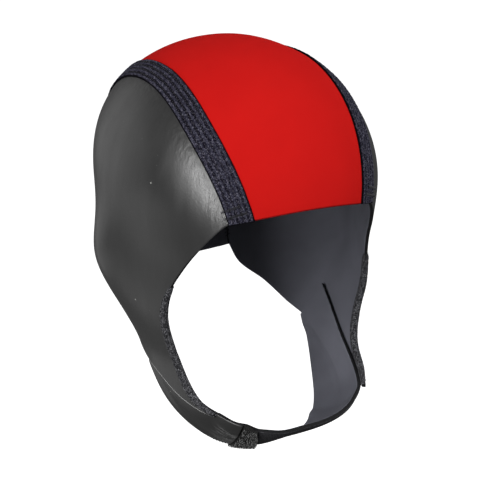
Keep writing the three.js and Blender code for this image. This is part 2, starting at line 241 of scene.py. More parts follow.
def smooth_curve(points):
    """Centripetal curve through points, as a function of the share of its length."""
    points = np.asarray(points, float)
    ends = np.vstack([2 * points[0] - points[1], points, 2 * points[-1] - points[-2]])
    t = np.linspace(0, 1, CURVE_STEPS + 1)[1:, None]
    runs = [points[:1]]
    for a, b, c, d in zip(ends, ends[1:], ends[2:], ends[3:]):
        pairs = (a, b), (b, c), (c, d)
        before, here, after = (math.sqrt(np.linalg.norm(end - start)) for start, end in pairs)
        leave = ((b - a) / before - (c - a) / (before + here) + (c - b) / here) * here
        arrive = ((c - b) / here - (d - b) / (here + after) + (d - c) / after) * here
        start, end = 2 * t**3 - 3 * t**2 + 1, 3 * t**2 - 2 * t**3
        runs.append(start * b + (t**3 - 2 * t**2 + t) * leave + end * c + (t**3 - t**2) * arrive)
    line = np.vstack(runs)
    lengths = np.concatenate([[0], np.cumsum(np.linalg.norm(np.diff(line, axis=0), axis=1))])

    def at(share):
        place = np.asarray(share, float) * lengths[-1]
        return np.stack([np.interp(place, lengths, axis) for axis in line.T], -1)

    return at


def arc_lengths(points):
    """Running length in millimetres down a grid's middle column, as a column."""
    middle = points[:, points.shape[1] // 2]
    return np.concatenate([[0], np.cumsum(np.linalg.norm(np.diff(middle, axis=0), axis=1))])[:, None]


def flap_lift(z):
    return FLAP_LIFT * smooth_share(-z, *FLAP_LIFT_DEPTHS)


# Meshes


def border(rows, columns):
    """Indexes round the edge of a grid, in order."""
    index = np.arange(rows * columns).reshape(rows, columns)
    return np.concatenate([index[0, :-1], index[:-1, -1], index[-1, :0:-1], index[:0:-1, 0]])


def outward(points, normals):
    """Directions in the sheet that point out over its edges, and zero inside it."""
    out = np.zeros_like(points)
    ends = (np.s_[0], np.s_[1]), (np.s_[-1], np.s_[-2])
    sides = (np.s_[:, 0], np.s_[:, 1]), (np.s_[:, -1], np.s_[:, -2])
    for edge, inner in ends + sides:
        away = unit(np.cross(np.gradient(points[edge], axis=0), normals[edge]))
        out[edge] += away * np.sign((away * (points[edge] - points[inner])).sum(-1, keepdims=True))
    return unit(out)


def grid_quads(rows, columns):
    index = np.arange(rows * columns).reshape(rows, columns)
    corners = index[:-1, :-1], index[:-1, 1:], index[1:, 1:], index[1:, :-1]
    return np.stack([corner.ravel() for corner in corners], -1)


ROLL_ANGLES = (35, 65, 90)
# A rolled corner takes at most this share of the sheet's thickness
CORNER_SHARE = 0.45
# How near the edge the outermost ring of the face counts, where 1 is on the cut
FACE_RIM = 0.8
# Zones of a sheet, in the order of its materials
SKIN, CUT, LINING = 0, 1, 2
RING_ZONES = (SKIN, SKIN, CUT, CUT, CUT, LINING, LINING)


def sheet(points, outer, inner, roll, flat_back=False):
    """Closed sheet over a grid of points on the form, with rolled edges.

    Returns its vertices, its faces, each face's zone, each vertex's grid index and how near the
    edge it lies.
    """
    rows, columns, _ = points.shape
    normals = normals_at(points)
    away = outward(points, normals).reshape(-1, 3)
    flat, normals = points.reshape(-1, 3), normals.reshape(-1, 3)
    outer, inner = (np.broadcast_to(level, (rows, columns)).reshape(-1) for level in (outer, inner))
    edge = border(rows, columns)
    corner = np.minimum(roll, CORNER_SHARE * (outer - inner))

    def layer(level, reach, which):
        return flat[which] + normals[which] * level[which, None] + away[which] * reach

    every = np.arange(rows * columns)
    rings = []
    for base, sense, angles in ((outer, -1, ROLL_ANGLES), (inner, 1, ROLL_ANGLES[::-1])):
        for angle in np.radians(angles):
            level = base + sense * corner * (1 - math.cos(angle))
            rings.append(layer(level, roll * (math.sin(angle) - 1), edge))
    vertices = [layer(outer, -roll, every), *rings]
    source = [every] + [edge] * len(rings)
    starts = len(every) + len(edge) * np.arange(len(rings))
    loops = [edge] + [start + np.arange(len(edge)) for start in starts]

    quads = grid_quads(rows, columns)
    faces, zones = [quads], [np.full(len(quads), SKIN)]
    if flat_back:
        last = np.empty(len(every), int)
        last[edge] = loops[-1]
        last = last.reshape(rows, columns)
        strip = last[:-1, 0], last[1:, 0], last[1:, -1], last[:-1, -1]
        faces.append(np.stack(strip, -1))
        zones.append(np.full(rows - 1, LINING))
        ends = [last[0, ::-1].tolist(), last[-1].tolist()]
    else:
        start = sum(len(part) for part in vertices)
        vertices.append(layer(inner, -roll, every))
        source.append(every)
        loops.append(start + edge)
        faces.append(start + quads[:, ::-1])
        zones.append(np.full(len(quads), LINING))
        ends = []
    for here, there, zone in zip(loops, loops[1:], RING_ZONES):
        following, beyond = np.roll(here, -1), np.roll(there, -1)
        faces.append(np.stack([following, here, there, beyond], -1))
        zones.append(np.full(len(here), zone))

    source = np.concatenate(source)
    near_edge = np.zeros(len(source))
    near_edge[len(every) : len(every) + len(edge) * len(rings)] = 1
    near_edge[edge] = FACE_RIM
    face_list = np.vstack(faces).tolist() + ends
    zone_list = np.concatenate(zones).tolist() + [LINING] * len(ends)
    return np.vstack(vertices), face_list, zone_list, source, near_edge


def add_object(name, data):
    added = bpy.data.objects.new(name, data)
    bpy.context.scene.collection.objects.link(added)
    return added


def make_piece(name, vertices, faces, materials, zones=None, uv=None, values=None):
    """Makes a piece from a closed mesh in the form's millimetres and rides it on the cap."""
    mesh = bpy.data.meshes.new(name)
    mesh.from_pydata(((vertices + FORM_SHIFT) * MM).tolist(), [], faces)
    for material in materials:
        mesh.materials.append(material)
    if zones is not None:
        mesh.polygons.foreach_set("material_index", np.minimum(zones, len(materials) - 1))
    mesh.polygons.foreach_set("use_smooth", [True] * len(mesh.polygons))
    if uv is not None:
        owners = np.empty(len(mesh.loops), np.int32)
        mesh.loops.foreach_get("vertex_index", owners)
        mesh.uv_layers.new(name="cloth").data.foreach_set("uv", uv[owners].ravel())
    for key, value in (values or {}).items():
        mesh.attributes.new(key, "FLOAT", "POINT").data.foreach_set("value", value)
    mesh.calc_loop_triangles()
    corners = np.empty(len(mesh.loop_triangles) * 3, np.int32)
    mesh.loop_triangles.foreach_get("vertices", corners)
    a, b, c = np.moveaxis(vertices[corners.reshape(-1, 3)], 1, 0)
    if (a * np.cross(b, c)).sum() < 0:
        mesh.flip_normals()
    mesh.update()
    piece = add_object(name, mesh)
    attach(piece, "root")
    return piece


def sheet_piece(name, points, levels, roll, uv, materials, slot, relief=0.0, flat_back=False, **marks):
    """Makes a sheet from its outer and inner levels.

    Its outer face stands out by its relief. Marks are shares over the sheet: the highlight mark says
    where a highlight is painted along its edge, rub where its face is rubbed light, and pucker where
    its skin puckers.
    """
    shape = points.shape[:2]
    outer, inner = levels
    relief = np.broadcast_to(relief, shape)
    parts = sheet(points, np.broadcast_to(outer, shape) + relief, inner, roll, flat_back)
    vertices, faces, zones, source, near_edge = parts
    uv = np.stack(np.broadcast_arrays(*uv), -1).reshape(-1, 2)[source]
    values = {"edge": near_edge, "relief": relief.reshape(-1)[source]}
    for mark, share in marks.items():
        values[mark] = np.broadcast_to(share, shape).reshape(-1)[source]
    # The painted highlight is kept to the edge rings
    if "wear" in values:
        values["wear"] = values["wear"] * near_edge
    return make_piece(name, vertices, faces, materials, zones, uv, values)


TUBE_SIDES = 5


def tubes(paths, radius, ups, taper=(0.55, 1, 1, 1, 0.55)):
    """Closed tubes along paths of the same number of points, as vertices and faces."""
    count, steps, _ = paths.shape
    tangents = unit(np.gradient(paths, axis=1))
    across = unit(np.cross(tangents, ups))
    above = np.cross(across, tangents)
    width = radius * np.interp(np.linspace(0, 1, steps), np.linspace(0, 1, len(taper)), taper)
    turns = (np.arange(TUBE_SIDES) * FULL_TURN / TUBE_SIDES)[:, None]
    circle = np.cos(turns) * across[:, :, None] + np.sin(turns) * above[:, :, None]
    vertices = (paths[:, :, None] + circle * width[:, None, None]).reshape(-1, 3)
    index = np.arange(count * steps * TUBE_SIDES).reshape(count, steps, TUBE_SIDES)
    turned = np.roll(index, -1, axis=2)
    walls = index[:, :-1], turned[:, :-1], turned[:, 1:], index[:, 1:]
    faces = np.stack([wall.ravel() for wall in walls], -1).tolist()
    faces += index[:, 0, ::-1].tolist() + index[:, -1].tolist()
    return vertices, faces


def thread_piece(name, bundles, material):
    """Joins bundles of tubes into one piece of thread."""
    vertices, faces, start = [], [], 0
    for points, polygons in bundles:
        vertices.append(points)
        faces += [[start + corner for corner in polygon] for polygon in polygons]
        start += len(points)
    return make_piece(name, np.vstack(vertices), faces, [material])


# Materials

# Display shades of the smooth skin
SKIN_DARK, SKIN_LIGHT = 36, 44
# Height of the puckers along the seam, against that of the skin's grain
PUCKER_HEIGHT = 16.0


def colour(red, green, blue):
    """Linear colour with alpha, from display values of 0 to 255."""
    def linear(value):
        value /= 255
        return value / 12.92 if value <= 0.04045 else ((value + 0.055) / 1.055) ** 2.4

    return (linear(red), linear(green), linear(blue), 1.0)


def grey(value):
    return colour(value, value, value)


def add_node(tree, kind, inputs=None, **settings):
    node = tree.nodes.new(kind)
    for key, value in settings.items():
        setattr(node, key, value)
    for key, value in (inputs or {}).items():
        if isinstance(value, bpy.types.NodeSocket):
            tree.links.new(value, node.inputs[key])
        else:
            node.inputs[key].default_value = value
    return node


def new_material(name, roughness, **sockets):
    material = bpy.data.materials.new(name)
    material.use_nodes = True
    sockets["Roughness"] = roughness
    for key, value in sockets.items():
        shader_inputs(material)[key.replace("_", " ")].default_value = value
    return material, material.node_tree


def shader_inputs(material):
    return material.node_tree.nodes["Principled BSDF"].inputs


def finished(material, tone, height=None, depth_mm=0.0):
    """Gives a material its colour and, from a height, its bump."""
    tree, inputs = material.node_tree, shader_inputs(material)
    tree.links.new(tone, inputs["Base Color"])
    if height is not None:
        relief = {"Height": height, "Distance": depth_mm * MM, "Strength": 1.0}
        tree.links.new(add_node(tree, "ShaderNodeBump", relief).outputs[0], inputs["Normal"])
    return material


def cloth_place(tree, scale_u=1.0, scale_v=1.0):
    uv = add_node(tree, "ShaderNodeUVMap", uv_map="cloth").outputs[0]
    scale = (scale_u, scale_v, 1)
    return add_node(tree, "ShaderNodeMapping", {"Vector": uv, "Scale": scale}).outputs[0]


def object_place(tree):
    return add_node(tree, "ShaderNodeTexCoord").outputs["Object"]


def noise(tree, place, scale, detail=2.0, roughness=0.5):
    inputs = {"Vector": place, "Scale": scale, "Detail": detail, "Roughness": roughness}
    return add_node(tree, "ShaderNodeTexNoise", inputs).outputs[0]


def cells(tree, place, scale, output):
    """Scattered cells: output 0 is the distance to a cell's middle and 1 the cell's own tint."""
    inputs = {"Vector": place, "Scale": scale}
    return add_node(tree, "ShaderNodeTexVoronoi", inputs).outputs[output]


def ramp(tree, value, *stops):
    node = add_node(tree, "ShaderNodeValToRGB", {"Fac": value})
    elements = node.color_ramp.elements
    while len(elements) < len(stops):
        elements.new(0.5)
    for element, (position, shade) in zip(elements, stops):
        element.position = position
        element.color = shade if hasattr(shade, "__len__") else (shade, shade, shade, 1)
    return node.outputs[0]


def blend(tree, share, first, second):
    """Goes from the first colour to the second as the share rises."""
    inputs = {0: share, 6: first, 7: second}
    return add_node(tree, "ShaderNodeMix", inputs, data_type="RGBA").outputs[2]


def maths(tree, operation, first, second):
    inputs = {0: first, 1: second}
    return add_node(tree, "ShaderNodeMath", inputs, operation=operation).outputs[0]


def attribute(tree, name):
    return add_node(tree, "ShaderNodeAttribute", attribute_name=name).outputs["Fac"]


# Scale at which the wave texture repeats about five times a unit
KNIT_WAVE_SCALE = 10 / FULL_TURN


def knit_height(tree, five_wales, five_courses):
    """Fine jersey knit, from the millimetres across five wales and along five courses."""
    place = cloth_place(tree, 1 / five_courses, 1 / five_wales)
    inputs = {"Vector": place, "Scale": KNIT_WAVE_SCALE, "Distortion": 0.6, "Detail": 1}
    waves = [add_node(tree, "ShaderNodeTexWave", inputs, bands_direction=way) for way in "YX"]
    return maths(tree, "MULTIPLY", *(wave.outputs[1] for wave in waves))


def jersey_material():
    material, tree = new_material("red_jersey", 0.95, Specular_IOR_Level=0.06)
    knit = knit_height(tree, 0.75, 0.6)
    broad = noise(tree, cloth_place(tree), 0.02)
    tone = ramp(tree, broad, (0.3, colour(201, 23, 21)), (0.7, colour(206, 25, 22)))
    tone = blend(tree, ramp(tree, knit, (0, 0.0), (1, 0.12)), tone, colour(176, 14, 14))
    # Painted shade: the rolled edges are darkened toward a dark red
    edge = ramp(tree, attribute(tree, "edge"), (0.5, 0.0), (1, 0.7))
    tone = blend(tree, edge, tone, colour(60, 6, 8))
    fuzz = noise(tree, cloth_place(tree), 2.2, 3, 0.7)
    return finished(material, tone, maths(tree, "ADD", knit, fuzz), 0.035)


def speckled(tree, place, tone, scale, shade):
    """Adds rare small light specks, one in some of the cells."""
    chosen = add_node(tree, "ShaderNodeSeparateColor", {"Color": cells(tree, place, scale, 1)})
    spot = ramp(tree, cells(tree, place, scale, 0), (0.025, 1.0), (0.045, 0.0))
    some = ramp(tree, chosen.outputs[0], (0.55, 0.0), (0.6, 0.8))
    return blend(tree, maths(tree, "MULTIPLY", spot, some), tone, shade)


def smooth_skin_material():
    """Satin rubber skin with light rub marks along the cloth where the attribute rub says so."""
    material, tree = new_material("smooth_skin", 0.36, Specular_IOR_Level=1.0)
    place = object_place(tree)
    drawn = add_node(tree, "ShaderNodeMapping", {"Vector": place, "Scale": (1, 1, 0.22)}).outputs[0]
    broad = noise(tree, drawn, 55, 4, 0.55)
    tone = ramp(tree, broad, (0.3, grey(SKIN_DARK)), (0.7, grey(SKIN_LIGHT)))
    tone = speckled(tree, place, tone, 70, colour(190, 190, 186))
    tone = speckled(tree, place, tone, 170, grey(130))
    streak = ramp(tree, noise(tree, cloth_place(tree, 0.1, 0.9), 1, 4, 0.7), (0.5, 0.0), (0.62, 1.0))
    rub = maths(tree, "MULTIPLY", streak, attribute(tree, "rub"))
    tone = blend(tree, rub, tone, grey(128))
    # Painted highlight: the flap's rolled rear edge is lightened to pale grey where the highlight mark
    # is set
    highlight_share = ramp(tree, attribute(tree, "wear"), (0.35, 0.0), (0.8, 1.0))
    tone = blend(tree, highlight_share, tone, grey(205))
    gloss = ramp(tree, noise(tree, drawn, 90, 4, 0.6), (0.3, 0.33), (0.7, 0.42))
    tree.links.new(gloss, shader_inputs(material)["Roughness"])
    grain = maths(tree, "ADD", noise(tree, place, 900, 3, 0.6), noise(tree, drawn, 160))
    puckers = maths(tree, "MULTIPLY", noise(tree, drawn, 320, 4, 0.65), PUCKER_HEIGHT)
    pulled = maths(tree, "MULTIPLY", puckers, attribute(tree, "pucker"))
    return finished(material, tone, maths(tree, "ADD", grain, pulled), 0.045)


def loop_cloth_material():
    """Dark napped cloth that the hooks grip."""
    material, tree = new_material("loop_cloth", 0.95, Specular_IOR_Level=0.08)
    nap = noise(tree, cloth_place(tree, 0.9, 1.4), 1, 4, 0.7)
    tone = ramp(tree, nap, (0.35, colour(30, 30, 32)), (0.68, colour(88, 88, 92)))
    return finished(material, tone, nap, 0.3)


def foam_material():
    material, tree = new_material("foam_cut_edge", 0.9, Specular_IOR_Level=0.2)
    place = object_place(tree)
    pores = cells(tree, place, 2200, 0)
    tone = ramp(tree, pores, (0.1, colour(12, 12, 13)), (0.6, colour(32, 32, 34)))
    # Painted highlight: the flap's cut rear edge is lightened to grey where the highlight mark is set
    tone = blend(tree, attribute(tree, "wear"), tone, grey(150))
    return finished(material, tone, pores, 0.12)


def lining_material():
    material, tree = new_material("lining_jersey", 0.88, Specular_IOR_Level=0.2)
    knit = knit_height(tree, 0.8, 0.7)
    broad = noise(tree, object_place(tree), 25, 3)
    tone = ramp(tree, broad, (0.3, colour(106, 107, 116)), (0.7, colour(124, 125, 135)))
    tone = blend(tree, ramp(tree, knit, (0, 0.0), (1, 0.5)), tone, colour(60, 60, 68))
    return finished(material, tone, knit, 0.08)


# How far noise pulls the edges of a yarn's patches, in patches
YARN_FRAY = (2.6, 2.6, 0.0)
# Shades of the mixed yarns: place on the ramp, then red, green and blue
TAPE_YARNS = (
    (0.3, 9, 8, 14),
    (0.5, 21, 19, 30),
    (0.7, 38, 36, 50),
    (0.85, 66, 64, 78),
    (0.95, 116, 114, 128),
)
BINDING_YARNS = ((0.3, 16, 16, 18), (0.5, 36, 36, 39), (0.75, 78, 78, 82), (0.95, 128, 128, 132))


def yarns(tree, scale_u, scale_v, shades):
    """Mixed yarns: small frayed patches of dark, middle and light shades."""
    place = cloth_place(tree, scale_u, scale_v)
    inputs = {"Vector": place, "Scale": 2.2, "Detail": 4}
    shake = add_node(tree, "ShaderNodeTexNoise", inputs).outputs["Color"]
    inputs = {0: shake, 1: YARN_FRAY, 2: place}
    frayed = add_node(tree, "ShaderNodeVectorMath", inputs, operation="MULTIPLY_ADD").outputs[0]
    tint = cells(tree, frayed, 1.0, 1)
    split = add_node(tree, "ShaderNodeSeparateColor", {"Color": tint})
    fibres = noise(tree, cloth_place(tree, 1.7 * scale_u, 1.7 * scale_v), 1.0, 4, 0.75)
    patches = maths(tree, "MULTIPLY", split.outputs[0], 0.6)
    mixed = maths(tree, "ADD", patches, maths(tree, "MULTIPLY", fibres, 0.7))
    return ramp(tree, mixed, *((stop, colour(*shade)) for stop, *shade in shades))


def knit_tape_material():
    material, tree = new_material("heathered_knit_tape", 0.95, Specular_IOR_Level=0.05)
    tone = yarns(tree, 1.6, 2.9, TAPE_YARNS)
    depth = maths(tree, "ADD", attribute(tree, "relief"), 0.8)
    # Painted highlight: the crests of the ridges are lightened toward grey-blue
    tone = blend(tree, ramp(tree, depth, (0.66, 0.0), (0.86, 0.4)), tone, colour(78, 80, 94))
    # Painted shade: the grooves between the needle lines and the pressed edges are darkened nearly to
    # black
    tone = blend(tree, ramp(tree, depth, (0.35, 0.95), (0.64, 0.0)), tone, colour(6, 5, 9))
    # Painted shade: the rolled edges and side walls are darkened nearly to black
    edge = ramp(tree, attribute(tree, "edge"), (0.3, 0.0), (0.8, 0.9))
    tone = blend(tree, edge, tone, colour(9, 8, 13))
    return finished(material, tone, noise(tree, cloth_place(tree), 3.0, 4, 0.75), 0.1)


def edge_knit_material():
    material, tree = new_material("binding_knit", 0.92, Specular_IOR_Level=0.15)
    tone = yarns(tree, 1.7, 2.6, BINDING_YARNS)
    depth = maths(tree, "ADD", attribute(tree, "relief"), 0.15)
    # Painted shade: the hollows between the ribs are darkened nearly to black
    tone = blend(tree, ramp(tree, depth, (0.02, 0.8), (0.2, 0.0)), tone, colour(9, 9, 10))
    return finished(material, tone, noise(tree, cloth_place(tree), 3.0, 4, 0.7), 0.1)


def hook_material(name, roughness, dark, light):
    material, tree = new_material(name, roughness)
    place = object_place(tree)
    patch = noise(tree, place, 900)
    tone = ramp(tree, patch, (0.42, grey(dark)), (0.68, grey(light)))
    return finished(material, tone, noise(tree, place, 1600, 3), 0.1)


def thread_material(name, dark, light):
    material, tree = new_material(name, 0.65, Sheen_Weight=0.2)
    place = object_place(tree)
    tone = ramp(tree, noise(tree, place, 1400), (0.35, dark), (0.65, light))
    return finished(material, tone, noise(tree, place, 2500), 0.05)


# Pieces


# Radius of each sheet's rolled edge, and the steps of the larger grids
CROWN_ROLL, SIDE_ROLL, TAPE_ROLL, STRAP_ROLL, TAB_ROLL = 0.7, 0.6, 0.45, 0.5, 0.3
CROWN_STEPS, CROWN_COLUMNS = 180, 71
TAPE_STEPS, TAPE_STEPS_ACROSS = 900, 50
STRAP_STEPS_ACROSS = 30
BINDING_STEPS = 330
TAB_STEPS, TAB_COVERED_STEPS, TAB_STEPS_ACROSS = 50, 40, 60


def spread(steps):
    return np.linspace(0, 1, steps + 1)


def crown_panel(looks):
    along = spread(CROWN_STEPS)[:, None]
    reach = np.linspace(-1, 1, CROWN_COLUMNS)[None, :]
    x = reach * joint_x(crown_angle(joint_x(HEM_ANGLE), along))
    points = crown_hit(x, crown_angle(x, along))
    uv = arc_lengths(points), x
    piece = sheet_piece("crown_jersey", points, (0, -WALL), CROWN_ROLL, uv, looks, "jersey")
    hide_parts("crown_panel")


def joint_line(side, extra, shares):
    joint = joint_x(crown_angle(joint_x(HEM_ANGLE), shares))
    return crown_hit(side * (joint + extra), crown_angle(joint, shares))


def face_curve(side):
    start = joint_line(side, GAP, np.zeros(1))
    below = [side_hit(side, y, z) for y, z in (*FACE_EDGE, FLAP_TIP)]
    return smooth_curve(np.vstack([start, below]))


def side_patch(side, steps_along, steps_down):
    """Patch of the form between the joint, the flap's rear edge, the face edge and the nape edge."""
    u, v = spread(steps_along)[:, None, None], spread(steps_down)[None, :, None]
    joint = joint_line(side, GAP, u[:, 0, 0])
    face = face_curve(side)
    rear_places = (FLAP_TIP, *FLAP_REAR_EDGE, FLAP_HEEL)
    rear = smooth_curve([side_hit(side, y, z) for y, z in rear_places])
    nape_places = (*NAPE_EDGE[::-1], FLAP_HEEL)
    nape = smooth_curve([joint[-1], *(side_hit(side, y, z) for y, z in nape_places)])
    top, bottom = joint[:, None], rear(u[:, 0, 0])[:, None]
    front, back = face(v[0, :, 0])[None], nape(v[0, :, 0])[None]
    targets = (1 - v) * top + v * bottom + (1 - u) * front + u * back
    targets -= (1 - u) * (1 - v) * joint[0] + u * (1 - v) * joint[-1]
    targets -= (1 - u) * v * face(1) + u * v * nape(1)
    return hit(FORM_CENTRE, targets - FORM_CENTRE)


# A highlight is painted on the flap's rear edge between these shares of its length from the tip
PAINTED_HIGHLIGHT_PART = (0.03, 0.8)
# The skin puckers next to the seam, over this share of the way down
PUCKERED_PART = 0.16


def side_panel(side, word, looks):
    points = side_patch(side, 150, 110)
    lift = flap_lift(points[..., 2])
    levels, uv = (lift, lift - WALL), (points[..., 1], points[..., 2])
    # Where a highlight is painted: along the flap's rear edge
    wear = np.zeros(points.shape[:2])
    first, last = (int(share * len(wear)) for share in PAINTED_HIGHLIGHT_PART)
    wear[first:last, -1] = 1
    pucker = 1 - smooth_share(spread(points.shape[1] - 1), 0, PUCKERED_PART)[None, :]
    marks = {"wear": wear, "pucker": pucker}
    name = f"side_skin_{word}"
    piece = sheet_piece(name, points, levels, SIDE_ROLL, uv, looks, "smooth_skin", **marks)
    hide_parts(f"side_panel_{word}")


# Needle lines sewn along the tape, and the relief that they pull into its knit
NEEDLE_SPACING = 2.5
NEEDLE_LINES = np.array([2.5, 5.0, 7.5, 10.0])
NEEDLE_STITCH = 2.4
STITCH_SHARE = 0.78
GROOVE_DEPTH, GROOVE_WIDTH = 0.5, 0.48
STITCH_PULL = 0.25
GROOVE_CALM = 0.7
CHANNEL_BULGE = 0.3
# At its front end the tape is stretched flatter, over these shares of its length
STRETCHED_RIDGES, STRETCHED_END = 0.5, (0.16, 0.34)
PRESSED_DEPTH, PRESSED_WIDTH = 0.6, 0.6
LOOP_PITCH, LOOP_LEAN, LOOP_HEIGHT = 1.05, 4.2, 0.07
ROUGH_HEIGHT, SWELL_HEIGHT = 0.05, 0.03
TAPE_TOP = LAYER_GAP + TAPE_THICKNESS
TAPE_FACE, TAPE_UNDER = TAPE_TOP - 0.15, 0.05
TAPE_MIDDLE = TAPE_SPAN / 2


def uneven(shape, passes, generator):
    """Random field with a spread of about one, smoothed over neighbours."""
    values = generator.normal(size=shape)
    for _ in range(passes):
        for axis in (0, 1):
            values = (np.roll(values, 1, axis) + 2 * values + np.roll(values, -1, axis)) / 4
    return values / values.std()


def tape_relief(along, across, ridged, generator):
    """Relief of the knit between its needle lines. Ridged is the share of its full ridges."""
    away = across[..., None] - NEEDLE_LINES
    groove = np.exp(-((away / GROOVE_WIDTH) ** 2)).sum(-1)
    pull = 1 - STITCH_PULL + STITCH_PULL * np.abs(np.sin(math.pi * along / NEEDLE_STITCH))
    from_edge = np.minimum(across, TAPE_SPAN - across)
    pressed = np.exp(-((from_edge / PRESSED_WIDTH) ** 2))
    channel = np.searchsorted(NEEDLE_LINES, across)
    bulge = CHANNEL_BULGE * np.abs(np.sin(math.pi * (across - NEEDLE_LINES[0]) / NEEDLE_SPACING))
    lean = np.where(channel % 2 == 0, 1, -1)
    loops = np.cos(FULL_TURN * (along / LOOP_PITCH + lean * across / LOOP_LEAN))
    rough = ROUGH_HEIGHT * uneven(groove.shape, 1, generator)
    swell = SWELL_HEIGHT * uneven(groove.shape, 4, generator)
    face = (LOOP_HEIGHT * loops + rough + swell + bulge - CHANNEL_BULGE) * (1 - GROOVE_CALM * groove)
    return face - GROOVE_DEPTH * ridged * groove * pull - PRESSED_DEPTH * pressed


def tape_points(side, along, across):
    """Points under the tape at shares along it and millimetres across it."""
    x = tape_inner_x(crown_angle(joint_x(HEM_ANGLE), along)) + across
    return crown_hit(side * x, crown_angle(x, along))


def seam_tape(side, word, look):
    along, across = spread(TAPE_STEPS)[:, None], (TAPE_SPAN * spread(TAPE_STEPS_ACROSS))[None, :]
    points = tape_points(side, along, across)
    length, across = np.broadcast_arrays(arc_lengths(points), across)
    ridged = mix(STRETCHED_RIDGES, 1.0, smooth_share(along, *STRETCHED_END))
    relief = tape_relief(length, across, ridged, np.random.default_rng(TAPE_SEED + side))
    levels, uv = (TAPE_FACE, TAPE_UNDER), (length, across)
    name = f"seam_band_{word}"
    piece = sheet_piece(name, points, levels, TAPE_ROLL, uv, [look], "knit_tape", relief, True)
    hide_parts(f"seam_tape_{word}")


STITCH_RISE = 0.12


def stitches_on(starts, ends, level, radius, sink=-0.25):
    """Short arched stitches between pairs of points, at a level over the form."""
    ups = normals_at(starts)
    starts, ends = starts + ups * level, ends + ups * level
    shares = np.linspace(0, 1, 5)
    arch = sink + (STITCH_RISE - sink) * np.sin(math.pi * shares) ** 0.7
    line = mix(starts[:, None], ends[:, None], shares[None, :, None])
    return tubes(line + ups[:, None] * arch[None, :, None], radius, ups[:, None])


NEEDLE_RADIUS, NEEDLE_SINK, NEEDLE_START = 0.12, 0.55, 0.6
# Two rows of tacks: how far from the tape's front end, and how far each reaches across it
TACK_ROWS = ((5.0, 10.5), (10.0, 8.5))
TACK_RADIUS, TACK_SINK, TACK_LENGTH, TACK_SPACING, TACK_LEAN = 0.24, 0.05, 1.8, 0.55, 1.2
TACKS_PAST_EDGE = 0.9


def tape_stitches(side):
    """Needle threads in the tape's grooves, and two rows of tacks near its front end."""
    total = arc_lengths(tape_points(side, spread(300)[:, None], np.full((1, 1), TAPE_MIDDLE)))[-1, 0]
    count = int(total / NEEDLE_STITCH) - 2
    starts = (np.arange(count) + NEEDLE_START) * NEEDLE_STITCH / total
    ends = starts + STITCH_SHARE * NEEDLE_STITCH / total
    bundles = []
    for line in NEEDLE_LINES:
        across = np.full(count, line)
        pair = tape_points(side, starts, across), tape_points(side, ends, across)
        bundles.append(stitches_on(*pair, TAPE_TOP - NEEDLE_SINK, NEEDLE_RADIUS))
    half = TACK_LENGTH / 2
    for place, reach in TACK_ROWS:
        across = TAPE_SPAN + TACKS_PAST_EDGE - np.arange(0, reach, TACK_SPACING)
        lean = np.linspace(0, TACK_LEAN, len(across))
        near = tape_points(side, (place - half + lean) / total, across)
        far = tape_points(side, (place + half + lean) / total, across)
        bundles.append(stitches_on(near, far, TAPE_TOP - TACK_SINK, TACK_RADIUS))
    return bundles


# How the binding rounds the cut edge, how it ends, and the ribs of its knit
BINDING_NOSE = 0.9
BINDING_ROOM = 0.15
BINDING_TIP_LOSS = 0.7
BINDING_FADE = 0.03
RIB_PITCH, RIB_LEAN, RIB_HEIGHT, RIB_ROUGHNESS = 1.1, 5, 0.05, 0.035
EDGE_STEP = 0.002


def binding_frame(side, along):
    """Edge points with their inward and outer directions, at shares of the face edge."""
    face = face_curve(side)
    edge = face(along)
    ups = normals_at(edge)
    tangent = unit(face(along + EDGE_STEP) - face(along - EDGE_STEP))
    inward = unit(np.cross(ups, tangent))
    inward *= np.sign(inward[..., 1:2])
    return edge, inward, ups


def binding_width(along):
    """Width on the outer face: it widens from its start and narrows again to the flap's tip."""
    start = smooth_share(along, BINDING_START, BINDING_FULL)
    end = smooth_share(along, BINDING_NARROWS, 1.0)
    return mix(BINDING_TIP_WIDTH, BINDING_WIDTH, start) * (1 - BINDING_TIP_LOSS * end)


